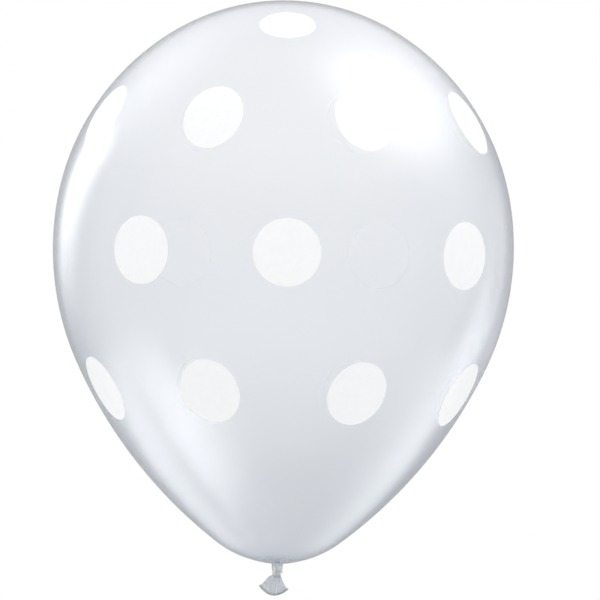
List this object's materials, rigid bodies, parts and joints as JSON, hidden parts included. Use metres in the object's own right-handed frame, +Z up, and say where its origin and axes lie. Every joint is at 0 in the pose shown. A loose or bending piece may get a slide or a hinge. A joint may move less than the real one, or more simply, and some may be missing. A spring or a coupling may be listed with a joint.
{
  "type": "clear polka dot party balloon",
  "caption": "Blown-up and tied clear latex party balloon with opaque white polka dots, a short knotted neck and a flared tail with a rolled lip.",
  "frame": {"origin": "the tie point: the middle of the groove between the blown-up body and the knot, on the balloon's axis", "axes": "+Z up the balloon's axis to its crown, -Y to the front of the print, +X to the right"},
  "size_m": [0.2793, 0.2796, 0.3608],
  "materials": {
    "clear_latex": "glossy, clear, slightly milky",
    "gathered_latex": "glossy, milky where the film is gathered and thick",
    "white_ink": "opaque white ink, semi-gloss"
  },
  "bodies": {
    "balloon": {"envelope": "clear_latex", "neck": "gathered_latex", "dot_crown": "white_ink", "dot_lower_1": "white_ink", "dot_lower_2": "white_ink", "dot_lower_3": "white_ink", "dot_lower_4": "white_ink", "dot_lower_5": "white_ink", "dot_lower_6": "white_ink", "dot_lower_7": "white_ink", "dot_lower_8": "white_ink", "dot_middle_1": "white_ink", "dot_middle_2": "white_ink", "dot_middle_3": "white_ink", "dot_middle_4": "white_ink", "dot_middle_5": "white_ink", "dot_middle_6": "white_ink", "dot_middle_7": "white_ink", "dot_upper_1": "white_ink", "dot_upper_2": "white_ink", "dot_upper_3": "white_ink", "dot_upper_4": "white_ink", "dot_upper_5": "white_ink", "dot_upper_6": "white_ink", "dot_upper_7": "white_ink", "dot_upper_8": "white_ink"},
    "knot": {"knot_core": "gathered_latex", "knot_wrap": "gathered_latex"},
    "tail": {"tail": "gathered_latex", "rolled_lip": "gathered_latex"}
  },
  "joints": [
    {"name": "neck_bend", "type": "hinge", "parent": "balloon", "child": "knot", "pos_m": [0, 0, 0], "axis": [0, 1, 0], "range_deg": [-45, 45], "stiffness_Nm_per_rad": 0.0002},
    {"name": "tail_bend", "type": "hinge", "parent": "knot", "child": "tail", "pos_m": [0, 0, -0.0062], "axis": [1, 0, 0], "range_deg": [-50, 50], "stiffness_Nm_per_rad": 0.0001}
  ]
}
